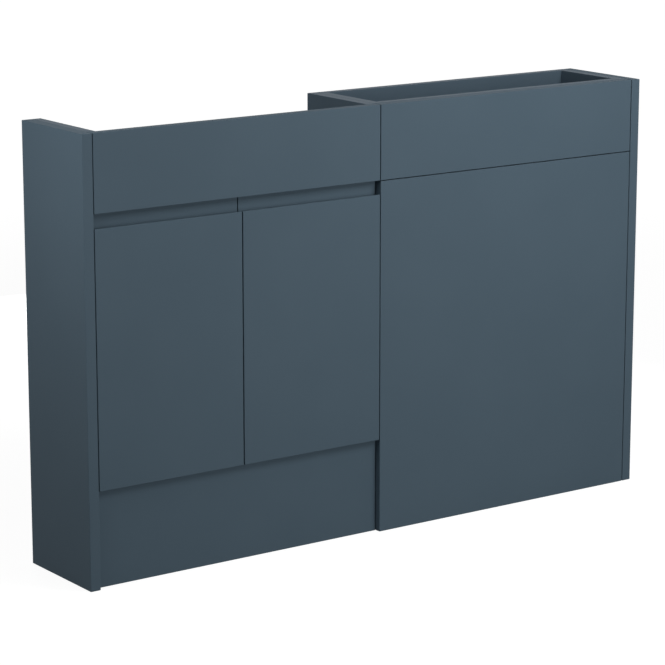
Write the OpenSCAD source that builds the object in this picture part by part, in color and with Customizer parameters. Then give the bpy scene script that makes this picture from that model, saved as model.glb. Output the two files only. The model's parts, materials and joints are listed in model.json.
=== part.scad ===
// Run of fitted bathroom furniture: a basin unit with two handleless doors beside a toilet unit,
// between two full-height end panels. Millimetres, +Z up, fronts face -Y, origin under the middle.

/* [Run] */
// Width of the basin unit's carcass
basin_w = 600; // [480:1:800]
// Width of the toilet unit's carcass
wc_w = 600; // [480:1:800]
// Height of the run, floor to top
run_h = 800; // [780:1:900]
// Depth of the carcass boards, front edge to wall
carcass_d = 185; // [170:1:330]
// Thickness of the end panels
end_t = 20; // [16:0.5:25]

/* [Boards] */
// Thickness of the carcass boards
board_t = 18; // [15:0.5:22]
// Thickness of doors, fascias and the toilet unit's lower panel
front_t = 19; // [18:0.5:22]
// Air between the fronts and the carcass
front_gap = 1.5; // [1.4:0.1:3]
// Reveal beside, above and below the fronts
reveal = 1.5; // [1.4:0.1:3]
// Gap between the two doors
door_gap = 2; // [1.5:0.1:4]

/* [Fronts] */
// Height of both top fascias
fascia_h = 138; // [120:1:170]
// Height of the underside of the basin carcass above the floor
base_z = 175; // [150:1:200]
// Door bottom above the carcass underside
door_lift = 2; // [0:0.5:6]
// Open finger gap between the fascia and the door's front lip
finger_gap = 26; // [20:1:34]

/* [Door edge profile] */
// Thickness of the door's front lip
lip_t = 4; // [3:0.5:6]
// Width of the finger groove behind the lip
groove_w = 11.5; // [9:0.5:12]
// Depth of the finger groove below the lip's top
groove_deep = 18; // [8:1:24]

/* [Rails] */
// Height of the basin unit's front rail
front_rail_h = 96; // [75:1:120]
// Front rail below the fascia's bottom edge
front_rail_lap = 36; // [28:1:46]
// Height of the basin unit's dropped back rail
back_rail_h = 100; // [70:1:120]
// Top of the dropped back rail below the run's top
back_rail_drop = 85; // [60:1:110]
// Height of the basin unit's lower back rail
lower_rail_h = 80; // [60:1:100]
// Height of the toilet unit's top back rail
wc_back_rail_h = 120; // [80:1:150]
// Height of the toilet unit's front rail
wc_front_rail_h = 45; // [36:1:50]
// Height of the toilet unit's middle rail
wc_mid_rail_h = 60; // [44:1:80]
// Middle rail above the joint of fascia and lower panel
wc_mid_rail_lap = 19; // [16:0.5:24]
// Height of the toilet unit's bottom rail
wc_bottom_rail_h = 80; // [60:1:100]
// Bottom rail above the floor
wc_bottom_rail_z = 20; // [0:1:40]

/* [Plinth] */
// Plinth face behind the door faces
plinth_recess = 12; // [8:0.5:16]
// Thickness of the plinth
plinth_t = 16; // [12:0.5:18]
// Air over the plinth
plinth_air = 0.5; // [0.5:0.5:8]
// Air at each end of the plinth
plinth_end_air = 0.5; // [0.5:0.1:3]

/* [Legs] */
// Leg centre from the carcass's outer side faces
leg_in = 75; // [72:1:110]
// Front leg centre behind the carcass's front edge
leg_front = 50; // [46:1:54]
// Back leg centre in front of the wall
leg_back = 45; // [32:1:52]
// Radius of the leg tube
leg_r = 15; // [13:0.5:17]
// Radius of the leg flange
leg_flange_r = 29; // [26:0.5:31]
// Thickness of the leg flange
leg_flange_t = 4; // [3:0.5:6]
// Lower end of the leg tube above the floor
leg_tube_z = 30; // [26:1:40]
// Depth of the bore that the foot's stem runs in
leg_bore = 62; // [55:1:70]
// Radius of the foot's threaded stem
stem_r = 10; // [8:0.5:11]
// Length of the foot's stem inside the leg at rest
stem_in = 32; // [25:1:38]
// Radius of the foot pad
pad_r = 22; // [18:0.5:26]
// Thickness of the foot pad
pad_t = 7; // [5:0.5:9]
// Height of the plinth clip's middle above the floor
clip_z = 95; // [70:1:120]
// Height of the plinth clip
clip_h = 24; // [18:1:32]
// Wall of the plinth clip
clip_wall = 3; // [2.5:0.5:4]

/* [Hinges] */
// Hinge centre from the door's lower and upper ends
hinge_end = 95; // [70:1:120]
// Cup centre from the door's hinged edge
cup_edge = 22.5; // [21.5:0.5:24]
// Radius of the cup
cup_r = 17.4; // [17:0.1:17.5]
// Depth of the cup in the door
cup_deep = 11.5; // [10:0.5:12]
// Wall of the cup
cup_wall = 1; // [0.8:0.1:1.2]
// Cup flange thickness
flange_t = 1; // [0.8:0.1:1.1]
// Distance between the two screws of a cup
cup_screw_pitch = 45; // [42:0.5:52]
// Cup screws further from the door edge than the cup centre
cup_screw_in = 9.5; // [5.5:0.5:10]
// Mounting plate's screws behind the carcass front edge
plate_setback = 37; // [28:0.5:37]
// Distance between the two screws of a mounting plate
plate_pitch = 32; // [28:1:40]
// Height of the hinge arm's seat over the gable
arm_seat = 9; // [7:0.5:10]
// Thickness of the hinge arm
arm_t = 5; // [4:0.5:5.5]
// Width of the hinge arm
arm_w = 11; // [9:0.5:12]
// Length of the hinge arm behind the carcass front edge
arm_len = 70; // [62:1:80]
// Centre of the arm's nose from the door's hinged edge
nose_edge = 34; // [33.5:0.1:34.4]
// Radius of the arm's nose
nose_r = 3; // [2.5:0.1:3.1]

/* [Fixings] */
// Radius of the long carcass screws
carcass_screw_r = 3.5; // [3:0.1:3.6]
// Length of the carcass screws under the head
carcass_screw_len = 46; // [40:1:50]
// Radius of a carcass screw's head
carcass_head_r = 5; // [4.5:0.1:5.5]
// Thickness of a carcass screw's head
carcass_head_t = 3; // [2.5:0.1:4]
// Radius of the small wood screws
wood_screw_r = 1.75; // [1.5:0.05:2]
// Radius of a small wood screw's head
wood_head_r = 3.2; // [2.8:0.1:3.4]
// Radius of the mounting plate screws
euro_r = 2.5; // [2.2:0.1:3]
// Radius of the unit connector's barrel
connector_r = 4; // [3:0.1:4.5]
// Radius of the wall fixing holes
wall_hole_r = 3; // [2.5:0.1:4]
// Distance between the wall fixing holes of a rail
wall_hole_pitch = 400; // [300:1:440]
// Width and height of a corner block
block = 18; // [16:0.5:20]
// Depth of a corner block, front to back
block_d = 22; // [20:0.5:26]
// Radius of the removable fascia's studs
stud_r = 3; // [2.5:0.1:3.5]
// Length of a stud behind the fascia
stud_len = 13; // [10:0.5:14]
// Studs from the ends of the toilet unit
stud_in = 90; // [60:1:130]
// Play of moving round fits
play = 0.08; // [0.04:0.01:0.1]
// Play of fixed round fits
snug = 0.05; // [0.04:0.01:0.1]

/* [Hidden] */
$fn = 48;

// ---- places, all measured from the run's own planes
depth = carcass_d + front_gap + front_t;
run_w = basin_w + wc_w + 2 * end_t;
left_x = -run_w / 2;
joint_x = left_x + end_t + basin_w;          // where the two units meet
basin_x = joint_x - basin_w;
right_x = joint_x + wc_w;
front_y = -depth / 2;                        // faces of the doors and fascias
carcass_y = front_y + front_t + front_gap;   // front edges of the carcass boards
wall_y = depth / 2;
fascia_z = run_h - fascia_h;
door_z = base_z + door_lift;
door_top = fascia_z - finger_gap;            // top of the door's front lip
upstand_top = fascia_z - reveal;
door_h = upstand_top - door_z;
door_w = (basin_w - 1.5 * reveal - door_gap) / 2;
front_rail_z = fascia_z - front_rail_lap;
back_rail_z = run_h - back_rail_drop - back_rail_h;
lower_rail_z = base_z + board_t;
mid_rail_z = fascia_z + wc_mid_rail_lap - wc_mid_rail_h;
plinth_h = base_z - plinth_air;
plinth_y = front_y + plinth_recess;
front_color = [0.275, 0.33, 0.365];
board_color = [0.29, 0.345, 0.38];
steel = [0.72, 0.73, 0.75];
plastic = [0.16, 0.17, 0.18];
pale = [0.85, 0.86, 0.87];

// ---- small shapes

// A board between two corners
module board(low, high) {
    translate(low) cube(high - low);
}

// A rod along +X, +Y or +Z from a point
module rod_x(at, r, len) {
    translate(at) rotate([0, 90, 0]) cylinder(r = r, h = len);
}
module rod_y(at, r, len) {
    translate(at) rotate([-90, 0, 0]) cylinder(r = r, h = len);
}
module rod_z(at, r, len) {
    translate(at) cylinder(r = r, h = len);
}

// ---- where the carcass screws go: [y, z] of each one on a gable's face
function two_up(y, z, h, edge) = [[y, z + edge], [y, z + h - edge]];
rail_edge = 18;          // screw line from a rail's upper and lower edges
low_rail_edge = 12;      // and on the toilet unit's low front rails
front_rail_y = carcass_y + board_t / 2;
back_rail_y = wall_y - board_t / 2;
basin_screw_spots = concat(
    two_up(front_rail_y, front_rail_z, front_rail_h, rail_edge),
    two_up(back_rail_y, back_rail_z, back_rail_h, rail_edge),
    two_up(back_rail_y, lower_rail_z, lower_rail_h, rail_edge),
    [for (share = [0.22, 0.62]) [carcass_y + share * carcass_d, base_z + board_t / 2]]
);
wc_screw_spots = concat(
    two_up(front_rail_y, run_h - wc_front_rail_h, wc_front_rail_h, low_rail_edge),
    two_up(front_rail_y, mid_rail_z, wc_mid_rail_h, low_rail_edge),
    two_up(front_rail_y, wc_bottom_rail_z, wc_bottom_rail_h, rail_edge),
    two_up(back_rail_y, run_h - wc_back_rail_h, wc_back_rail_h, rail_edge)
);
// Connectors through both middle gables, and screws from a gable into its end panel
connector_up = 75;       // lower connectors above the basin carcass's underside
connector_down = 30;     // upper connectors below the dropped back rail
end_screw_up = 110;
end_screw_down = 60;
connector_spots = [for (share = [0.3, 0.7], z = [base_z + connector_up, back_rail_z - connector_down])
    [carcass_y + share * carcass_d, z]];
end_screw_spots = [for (share = [0.42, 0.74], z = [base_z + end_screw_up, back_rail_z - end_screw_down])
    [carcass_y + share * carcass_d, z]];

// ---- screws

// A countersunk carcass screw whose head is flush at x, running towards +X
module carcass_screw(x, spot) {
    rod_x([x, spot[0], spot[1]], carcass_head_r, carcass_head_t);
    rod_x([x, spot[0], spot[1]], carcass_screw_r, carcass_head_t + carcass_screw_len);
}
module carcass_hole(x, spot) {
    rod_x([x - 1, spot[0], spot[1]], carcass_head_r + snug, carcass_head_t + 1);
    rod_x([x, spot[0], spot[1]], carcass_screw_r + snug, carcass_head_t + carcass_screw_len + 1);
}
// The same set at both gables of a unit that starts at x and is w wide
module carcass_screw_set(x, w, spots) {
    for (spot = spots) {
        carcass_screw(x, spot);
        translate([x + w, 0, 0]) mirror([1, 0, 0]) carcass_screw(0, spot);
    }
}
module carcass_hole_set(x, w, spots) {
    for (spot = spots) {
        carcass_hole(x, spot);
        translate([x + w, 0, 0]) mirror([1, 0, 0]) carcass_hole(0, spot);
    }
}

// ---- hinge places: [x of the door's hinged edge, direction into the door]
left_edge = [basin_x + reveal, 1];
right_edge = [joint_x - reveal / 2, -1];
hinge_zs = [door_z + hinge_end, upstand_top - hinge_end];
// Distance from the door edge to the face of the gable that carries the hinge
function gable_face(edge) = edge[1] > 0 ? basin_x + board_t : joint_x - board_t;
door_back_y = front_y + front_t;

// Puts a hinge drawn for a left-hand door at each height of the given door edge
module at_hinges(x, side) {
    for (z = hinge_zs) translate([x, 0, z]) mirror([side > 0 ? 0 : 1, 0, 0]) children();
}

// ---- end panels
module end_screw_holes(x, reach) {
    for (spot = end_screw_spots) rod_x([x, spot[0], spot[1]], wood_screw_r + snug, reach);
}
end_screw_in = 12;   // length of the thread inside an end panel
module end_panel_left() {
    color(front_color) difference() {
        board([left_x, front_y, 0], [basin_x, wall_y, run_h]);
        end_screw_holes(basin_x - end_screw_in - 1, end_screw_in + 2);
    }
}
module end_panel_right() {
    color(front_color) difference() {
        board([right_x, front_y, 0], [right_x + end_t, wall_y, run_h]);
        end_screw_holes(right_x - 1, end_screw_in + 2);
    }
}
end_head_t = 2;
module end_panel_screws() {
    color(steel) for (spot = end_screw_spots) {
        for (side = [1, -1]) {
            face = side > 0 ? basin_x + board_t : right_x - board_t;
            translate([face, spot[0], spot[1]]) mirror([side > 0 ? 1 : 0, 0, 0]) {
                rod_x([0, 0, 0], wood_head_r, end_head_t);
                rod_x([0, 0, 0], wood_screw_r, board_t + end_screw_in);
            }
        }
    }
}
// Countersunk way through a gable for the end panel screws, head at the inner face
module gable_end_holes(face, side) {
    for (spot = end_screw_spots) translate([face, spot[0], spot[1]])
        mirror([side > 0 ? 1 : 0, 0, 0]) {
            rod_x([-1, 0, 0], wood_head_r + snug, end_head_t + 1);
            rod_x([0, 0, 0], wood_screw_r + snug, board_t + 1);
        }
}
module connector_holes() {
    for (spot = connector_spots)
        rod_x([joint_x - board_t - 1, spot[0], spot[1]], connector_r + snug, 2 * board_t + 2);
}
connector_head_r = 7;
connector_head_t = 1.5;
module connector_screws() {
    color(steel) for (spot = connector_spots) {
        rod_x([joint_x - board_t, spot[0], spot[1]], connector_r, 2 * board_t);
        rod_x([joint_x - board_t - connector_head_t, spot[0], spot[1]], connector_head_r,
            connector_head_t);
        rod_x([joint_x + board_t, spot[0], spot[1]], connector_head_r, connector_head_t);
    }
}

// ---- basin unit
plate_screw_in = 11;   // depth of a mounting plate screw in the gable
module plate_screw_holes(edge) {
    face = gable_face(edge);
    for (z = hinge_zs, up = [-0.5, 0.5])
        translate([face, carcass_y + plate_setback, z + up * plate_pitch])
            mirror([edge[1] > 0 ? 1 : 0, 0, 0]) rod_x([-1, 0, 0], euro_r + snug, plate_screw_in + 2);
}
module basin_side_left() {
    color(board_color) difference() {
        board([basin_x, carcass_y, base_z], [basin_x + board_t, wall_y, run_h]);
        carcass_hole_set(basin_x, basin_w, basin_screw_spots);
        plate_screw_holes(left_edge);
        gable_end_holes(basin_x + board_t, 1);
        fascia_block_holes();
    }
}
module basin_side_right() {
    color(board_color) difference() {
        board([joint_x - board_t, carcass_y, base_z], [joint_x, wall_y, run_h]);
        carcass_hole_set(basin_x, basin_w, basin_screw_spots);
        plate_screw_holes(right_edge);
        connector_holes();
        fascia_block_holes();
    }
}
module basin_base() {
    color(board_color) difference() {
        board([basin_x + board_t, carcass_y, base_z],
            [joint_x - board_t, wall_y, base_z + board_t]);
        carcass_hole_set(basin_x, basin_w, basin_screw_spots);
        for (leg = legs, hole = flange_spots)
            rod_z([leg[0] + hole[0], leg[1] + hole[1], base_z - 1], wood_screw_r + snug,
                leg_screw_in + 2);
    }
}
module basin_front_rail() {
    color(board_color) difference() {
        board([basin_x + board_t, carcass_y, front_rail_z],
            [joint_x - board_t, carcass_y + board_t, front_rail_z + front_rail_h]);
        carcass_hole_set(basin_x, basin_w, basin_screw_spots);
        fascia_block_holes();
    }
}
// Wall fixing holes of a back rail: middle x, rail's bottom and height
module wall_holes(x, z, h) {
    for (side = [-0.5, 0.5])
        rod_y([x + side * wall_hole_pitch, wall_y - board_t - 1, z + h / 2], wall_hole_r,
            board_t + 2);
}
basin_mid_x = basin_x + basin_w / 2;
wc_mid_x = joint_x + wc_w / 2;
module back_board(x, w, z, h) {
    board([x + board_t, wall_y - board_t, z], [x + w - board_t, wall_y, z + h]);
}
module basin_back_rail() {
    color(board_color) difference() {
        back_board(basin_x, basin_w, back_rail_z, back_rail_h);
        carcass_hole_set(basin_x, basin_w, basin_screw_spots);
        wall_holes(basin_mid_x, back_rail_z, back_rail_h);
    }
}
module basin_lower_rail() {
    color(board_color) difference() {
        back_board(basin_x, basin_w, lower_rail_z, lower_rail_h);
        carcass_hole_set(basin_x, basin_w, basin_screw_spots);
        wall_holes(basin_mid_x, lower_rail_z, lower_rail_h);
    }
}
module basin_fascia() {
    color(front_color) difference() {
        board([basin_x + reveal, front_y, fascia_z], [joint_x - reveal / 2, door_back_y, run_h]);
        fascia_block_holes();
    }
}

// ---- corner blocks. Each spot is [x, z, way]: the block's own middle, and which side it is
// screwed to: -1 a gable at its low x, 1 a gable at its high x, 0 the rail under it
fascia_block_z = fascia_z + 0.62 * fascia_h;
front_rail_top = front_rail_z + front_rail_h;
fascia_block_spots = [
    [basin_x + board_t + block / 2, fascia_block_z, -1],
    [joint_x - board_t - block / 2, fascia_block_z, 1],
    [basin_mid_x - basin_w / 4, front_rail_top + block / 2, 0],
    [basin_mid_x + basin_w / 4, front_rail_top + block / 2, 0]
];
panel_block_up = 60;     // lowest panel blocks above the bottom rail
panel_block_down = 70;   // highest panel blocks below the middle rail
panel_block_zs = [wc_bottom_rail_z + wc_bottom_rail_h + panel_block_up, 0.42 * run_h,
    mid_rail_z - panel_block_down];
panel_block_spots = [for (z = panel_block_zs, side = [-1, 1])
    [side < 0 ? joint_x + board_t + block / 2 : right_x - board_t - block / 2, z, side]];
block_screw_in = 12;   // thread of a block screw inside its board
block_head_t = 2;
block_floor = 4;       // plastic under a block screw's head
block_shift = 4;       // the two screws of a block miss each other by this much each way

// Draws children along the line of each screw of a block: first into the front, then into the side.
// A child starts at the block's own face and runs into the board.
module at_block_screws(spot) {
    y0 = door_back_y;
    translate([spot[0] - block_shift, y0, spot[1] + (spot[2] == 0 ? block_shift : -block_shift)])
        rotate([90, 0, 0]) children();
    seat = spot[2] == 0 ? [spot[0] + block_shift, y0 + 0.68 * block_d, spot[1] - block / 2]
        : [spot[0] + spot[2] * block / 2, y0 + 0.68 * block_d, spot[1] + block_shift];
    turn = spot[2] == 0 ? [180, 0, 0] : [0, 90 * spot[2], 0];
    translate(seat) rotate(turn) children();
}
module block_screw() {
    translate([0, 0, -block_floor]) cylinder(r = wood_screw_r, h = block_floor + block_screw_in);
    translate([0, 0, -block_floor - block_head_t]) cylinder(r = wood_head_r, h = block_head_t);
}
module block_screw_hole() {
    translate([0, 0, -block_floor - 1]) cylinder(r = wood_screw_r + snug,
        h = block_floor + block_screw_in + 2);
}
well_air = 0.4;        // around a block screw's head
module block_screw_well() {
    translate([0, 0, -block_floor - 2 * block_d])
        cylinder(r = wood_head_r + well_air, h = 2 * block_d);
}
module corner_block(spot) {
    difference() {
        board([spot[0] - block / 2, door_back_y, spot[1] - block / 2],
            [spot[0] + block / 2, door_back_y + block_d, spot[1] + block / 2]);
        at_block_screws(spot) block_screw_hole();
        at_block_screws(spot) block_screw_well();
    }
}
module fascia_block_holes() {
    for (spot = fascia_block_spots) at_block_screws(spot) block_screw_hole();
}
module panel_block_holes() {
    for (spot = panel_block_spots) at_block_screws(spot) block_screw_hole();
}
module fascia_blocks() {
    color(plastic) for (spot = fascia_block_spots) corner_block(spot);
}
module fascia_block_screws() {
    color(steel) for (spot = fascia_block_spots) at_block_screws(spot) block_screw();
}
module panel_blocks() {
    color(plastic) for (spot = panel_block_spots) corner_block(spot);
}
module panel_block_screws() {
    color(steel) for (spot = panel_block_spots) at_block_screws(spot) block_screw();
}

// ---- doors: a slab whose top edge is a thin front lip, a round-bottomed finger groove and an upstand
groove_r = groove_w / 2;
module door_outline() {
    difference() {
        translate([0, door_z]) square([front_t, door_h]);
        translate([-1, door_top]) square([1 + lip_t + groove_w, door_h]);
        translate([lip_t, door_top - groove_deep + groove_r]) square([groove_w, groove_deep]);
        translate([lip_t + groove_r, door_top - groove_deep + groove_r]) circle(r = groove_r);
    }
}
cup_bore_floor = 0.5;   // air under the cup in its bore
cup_screw_len = 12;
buffer_r = 4;
buffer_in = 14;         // buffer from the door's free edge
buffer_zs = [base_z + board_t / 2, (front_rail_z + upstand_top) / 2];
module door_slab(edge) {
    difference() {
        translate([edge[0], front_y, 0]) mirror([edge[1] > 0 ? 0 : 1, 0, 0])
            rotate([90, 0, 90]) linear_extrude(door_w) door_outline();
        at_hinges(edge[0], edge[1]) {
            rod_y([cup_edge, door_back_y - cup_deep - cup_bore_floor, 0], cup_r + snug,
                cup_deep + cup_bore_floor + 1);
            for (up = [-0.5, 0.5])
                rod_y([cup_edge + cup_screw_in, door_back_y - cup_screw_len - 1,
                    up * cup_screw_pitch], wood_screw_r + snug, cup_screw_len + 2);
        }
    }
}
module door_left() {
    color(front_color) door_slab(left_edge);
}
module door_right() {
    color(front_color) door_slab(right_edge);
}
buffer_t = front_gap - 0.3;
module door_buffers(edge) {
    for (z = buffer_zs)
        rod_y([edge[0] + edge[1] * (door_w - buffer_in), door_back_y, z], buffer_r, buffer_t);
}
module door_buffers_left() {
    color(pale) door_buffers(left_edge);
}
module door_buffers_right() {
    color(pale) door_buffers(right_edge);
}

// ---- hinges
module hinge_cup() {
    floor_y = door_back_y - cup_deep;
    difference() {
        union() {
            rod_y([cup_edge, floor_y, 0], cup_r, cup_deep);
            translate([cup_edge, door_back_y + flange_t, 0]) rotate([90, 0, 0])
                linear_extrude(flange_t) cup_flange();
        }
        rod_y([cup_edge, floor_y + cup_wall, 0], cup_r - cup_wall, cup_deep + flange_t + 1);
        for (up = [-0.5, 0.5])
            rod_y([cup_edge + cup_screw_in, door_back_y - 1, up * cup_screw_pitch],
                wood_screw_r + snug, flange_t + 2);
    }
}
flange_r = 19.5;
ear_r = 6.5;
module cup_flange() {
    circle(r = flange_r);
    translate([cup_screw_in - ear_r, -cup_screw_pitch / 2]) square([2 * ear_r, cup_screw_pitch]);
    for (up = [-0.5, 0.5]) translate([cup_screw_in, up * cup_screw_pitch]) circle(r = ear_r);
}
cup_head_t = 0.9;
module cup_screws() {
    for (up = [-0.5, 0.5]) {
        at = [cup_edge + cup_screw_in, door_back_y + flange_t, up * cup_screw_pitch];
        rod_y(at, wood_head_r, cup_head_t);
        rod_y(at - [0, flange_t + cup_screw_len, 0], wood_screw_r, flange_t + cup_screw_len);
    }
}
module hinge_cups_left() {
    color(steel) at_hinges(left_edge[0], 1) hinge_cup();
}
module hinge_cups_right() {
    color(steel) at_hinges(right_edge[0], -1) hinge_cup();
}
module hinge_cup_screws_left() {
    color(steel) at_hinges(left_edge[0], 1) cup_screws();
}
module hinge_cup_screws_right() {
    color(steel) at_hinges(right_edge[0], -1) cup_screws();
}

// The arm, seen from above: straight along the gable, cranked forward into the cup.
// Its own x starts at the gable's face and its own y at the carcass's front edge.
nose_y = -4.5;
crank_y = 4;
crank_run = 10;  // length of the crank's slope, front to back
crank_lap = 2;   // its outer side is this much longer at each end
pin_r = 1.4;
pin_out = 1.2;   // pin standing out of each side of the nose
module arm_outline(nose_x) {
    polygon([
        [arm_seat, arm_len], [arm_seat, crank_y + crank_run], [nose_x - nose_r, crank_y],
        [nose_x - nose_r, nose_y], [nose_x + nose_r, nose_y], [nose_x + nose_r, crank_y - crank_lap],
        [arm_seat + arm_t, crank_y + crank_run + crank_lap], [arm_seat + arm_t, arm_len]
    ]);
    translate([nose_x, nose_y]) circle(r = nose_r);
}
module hinge_arm(nose_x) {
    translate([0, carcass_y, -arm_w / 2]) linear_extrude(arm_w) arm_outline(nose_x);
    rod_z([nose_x, carcass_y + nose_y, -arm_w / 2 - pin_out], pin_r, arm_w + 2 * pin_out);
}
plate_wing_t = 2;
plate_wing_w = 13;
plate_body_w = 12;
plate_body_len = 34;
module mounting_plate() {
    y = carcass_y + plate_setback;
    wing_h = plate_pitch + plate_wing_w;
    difference() {
        union() {
            board([0, y - plate_wing_w / 2, -wing_h / 2],
                [plate_wing_t, y + plate_wing_w / 2, wing_h / 2]);
            board([0, y - plate_wing_w / 2, -plate_body_w / 2],
                [arm_seat, y - plate_wing_w / 2 + plate_body_len, plate_body_w / 2]);
        }
        for (up = [-0.5, 0.5])
            rod_x([-1, y, up * plate_pitch], euro_r + snug, plate_wing_t + 2);
    }
}
euro_head_r = 4.5;
euro_head_t = 1.6;
module plate_screws() {
    for (up = [-0.5, 0.5]) {
        at = [plate_wing_t, carcass_y + plate_setback, up * plate_pitch];
        rod_x(at, euro_head_r, euro_head_t);
        rod_x(at - [plate_wing_t + plate_screw_in, 0, 0], euro_r, plate_wing_t + plate_screw_in);
    }
}
module hinge_arms_left() {
    face = gable_face(left_edge);
    color(steel) at_hinges(face, 1) hinge_arm(left_edge[0] + nose_edge - face);
}
module hinge_arms_right() {
    face = gable_face(right_edge);
    color(steel) at_hinges(face, -1) hinge_arm(face - (right_edge[0] - nose_edge));
}
module hinge_plates_left() {
    color(steel) at_hinges(gable_face(left_edge), 1) mounting_plate();
}
module hinge_plates_right() {
    color(steel) at_hinges(gable_face(right_edge), -1) mounting_plate();
}
module hinge_plate_screws() {
    color(steel) {
        at_hinges(gable_face(left_edge), 1) plate_screws();
        at_hinges(gable_face(right_edge), -1) plate_screws();
    }
}

// ---- legs: [x, y] of each
leg_front_y = carcass_y + leg_front;
leg_back_y = wall_y - leg_back;
leg_left_x = basin_x + leg_in;
leg_right_x = joint_x - leg_in;
legs = [
    [leg_left_x, leg_front_y], [leg_right_x, leg_front_y],
    [leg_left_x, leg_back_y], [leg_right_x, leg_back_y]
];
flange_hole_r = (leg_r + leg_flange_r) / 2;
flange_spots = [for (turn = [45:90:315]) flange_hole_r * [cos(turn), sin(turn)]];
leg_screw_in = 12;
leg_head_t = 1.6;
module leg_socket(leg) {
    difference() {
        union() {
            rod_z([leg[0], leg[1], base_z - leg_flange_t], leg_flange_r, leg_flange_t);
            rod_z([leg[0], leg[1], leg_tube_z], leg_r, base_z - leg_tube_z);
        }
        rod_z([leg[0], leg[1], leg_tube_z - 1], stem_r + play, leg_bore + 1);
        for (hole = flange_spots)
            rod_z([leg[0] + hole[0], leg[1] + hole[1], base_z - leg_flange_t - 1],
                wood_screw_r + snug, leg_flange_t + 2);
    }
}
module leg_sockets() {
    color(plastic) for (leg = legs) leg_socket(leg);
}
module leg_screws() {
    color(steel) for (leg = legs, hole = flange_spots) {
        x = leg[0] + hole[0];
        y = leg[1] + hole[1];
        rod_z([x, y, base_z - leg_flange_t], wood_screw_r, leg_flange_t + leg_screw_in);
        rod_z([x, y, base_z - leg_flange_t - leg_head_t], wood_head_r, leg_head_t);
    }
}
collar_r = 14;
collar_t = 5;
module foot(leg) {
    rod_z([leg[0], leg[1], 0], pad_r, pad_t);
    rod_z([leg[0], leg[1], pad_t], collar_r, collar_t);
    rod_z([leg[0], leg[1], pad_t], stem_r, leg_tube_z + stem_in - pad_t);
}
module foot_front_left() {
    color(plastic) foot(legs[0]);
}
module foot_front_right() {
    color(plastic) foot(legs[1]);
}
module foot_back_left() {
    color(plastic) foot(legs[2]);
}
module foot_back_right() {
    color(plastic) foot(legs[3]);
}

// ---- plinth, which its clips hold to the front legs
clip_play = 0.4;
clip_arm_past = 5;      // the clip's arms reach this far past the leg's middle
clip_plate_w = 40;
clip_screw_x = 14;
clip_screw_len = 11;
clip_head_t = 1.4;
plinth_back_y = plinth_y + plinth_t;
module plinth_screw_holes(past) {
    for (leg = [legs[0], legs[1]], side = [-1, 1])
        rod_y([leg[0] + side * clip_screw_x, plinth_back_y - clip_screw_len - 1, clip_z],
            wood_screw_r + snug, clip_screw_len + 1 + past);
}
module plinth() {
    color(front_color) difference() {
        board([basin_x + plinth_end_air, plinth_y, 0],
            [joint_x - plinth_end_air, plinth_back_y, plinth_h]);
        plinth_screw_holes(1);
    }
}
module plinth_clip(leg) {
    inner = leg_r + clip_play;
    outer = inner + clip_wall;
    plate_end = plinth_back_y + clip_wall;
    difference() {
        union() {
            board([leg[0] - clip_plate_w / 2, plinth_back_y, clip_z - clip_h / 2],
                [leg[0] + clip_plate_w / 2, plate_end, clip_z + clip_h / 2]);
            board([leg[0] - clip_wall, plate_end, clip_z - clip_h / 2],
                [leg[0] + clip_wall, leg[1] - inner - clip_wall / 2, clip_z + clip_h / 2]);
            rod_z([leg[0], leg[1], clip_z - clip_h / 2], outer, clip_h);
            board([leg[0] - outer, leg[1], clip_z - clip_h / 2],
                [leg[0] + outer, leg[1] + clip_arm_past, clip_z + clip_h / 2]);
        }
        rod_z([leg[0], leg[1], clip_z - clip_h], inner, 2 * clip_h);
        board([leg[0] - inner, leg[1], clip_z - clip_h],
            [leg[0] + inner, leg[1] + 2 * outer, clip_z + clip_h]);
        board([leg[0] - 2 * outer, leg[1] + clip_arm_past, clip_z - clip_h],
            [leg[0] + 2 * outer, leg[1] + 2 * outer, clip_z + clip_h]);
        plinth_screw_holes(clip_wall + 1);
    }
}
module plinth_clips() {
    color(plastic) for (leg = [legs[0], legs[1]]) plinth_clip(leg);
}
module plinth_clip_screws() {
    color(steel) for (leg = [legs[0], legs[1]], side = [-1, 1]) {
        at = [leg[0] + side * clip_screw_x, plinth_back_y + clip_wall, clip_z];
        rod_y(at, wood_head_r, clip_head_t);
        rod_y(at - [0, clip_wall + clip_screw_len, 0], wood_screw_r, clip_wall + clip_screw_len);
    }
}

// ---- toilet unit
module wc_side_left() {
    color(board_color) difference() {
        board([joint_x, carcass_y, 0], [joint_x + board_t, wall_y, run_h]);
        carcass_hole_set(joint_x, wc_w, wc_screw_spots);
        connector_holes();
        panel_block_holes();
    }
}
module wc_side_right() {
    color(board_color) difference() {
        board([right_x - board_t, carcass_y, 0], [right_x, wall_y, run_h]);
        carcass_hole_set(joint_x, wc_w, wc_screw_spots);
        gable_end_holes(right_x - board_t, -1);
        panel_block_holes();
    }
}
module wc_rail(y, z, h) {
    difference() {
        board([joint_x + board_t, y, z], [right_x - board_t, y + board_t, z + h]);
        carcass_hole_set(joint_x, wc_w, wc_screw_spots);
        socket_holes();
    }
}
module wc_back_rail() {
    color(board_color) difference() {
        wc_rail(wall_y - board_t, run_h - wc_back_rail_h, wc_back_rail_h);
        wall_holes(wc_mid_x, run_h - wc_back_rail_h, wc_back_rail_h);
    }
}
module wc_front_rail() {
    color(board_color) wc_rail(carcass_y, run_h - wc_front_rail_h, wc_front_rail_h);
}
module wc_mid_rail() {
    color(board_color) wc_rail(carcass_y, mid_rail_z, wc_mid_rail_h);
}
module wc_bottom_rail() {
    color(board_color) wc_rail(carcass_y, wc_bottom_rail_z, wc_bottom_rail_h);
}
module wc_lower_panel() {
    color(front_color) difference() {
        board([joint_x + reveal / 2, front_y, 0],
            [right_x - reveal, door_back_y, fascia_z - reveal]);
        panel_block_holes();
    }
}

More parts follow.
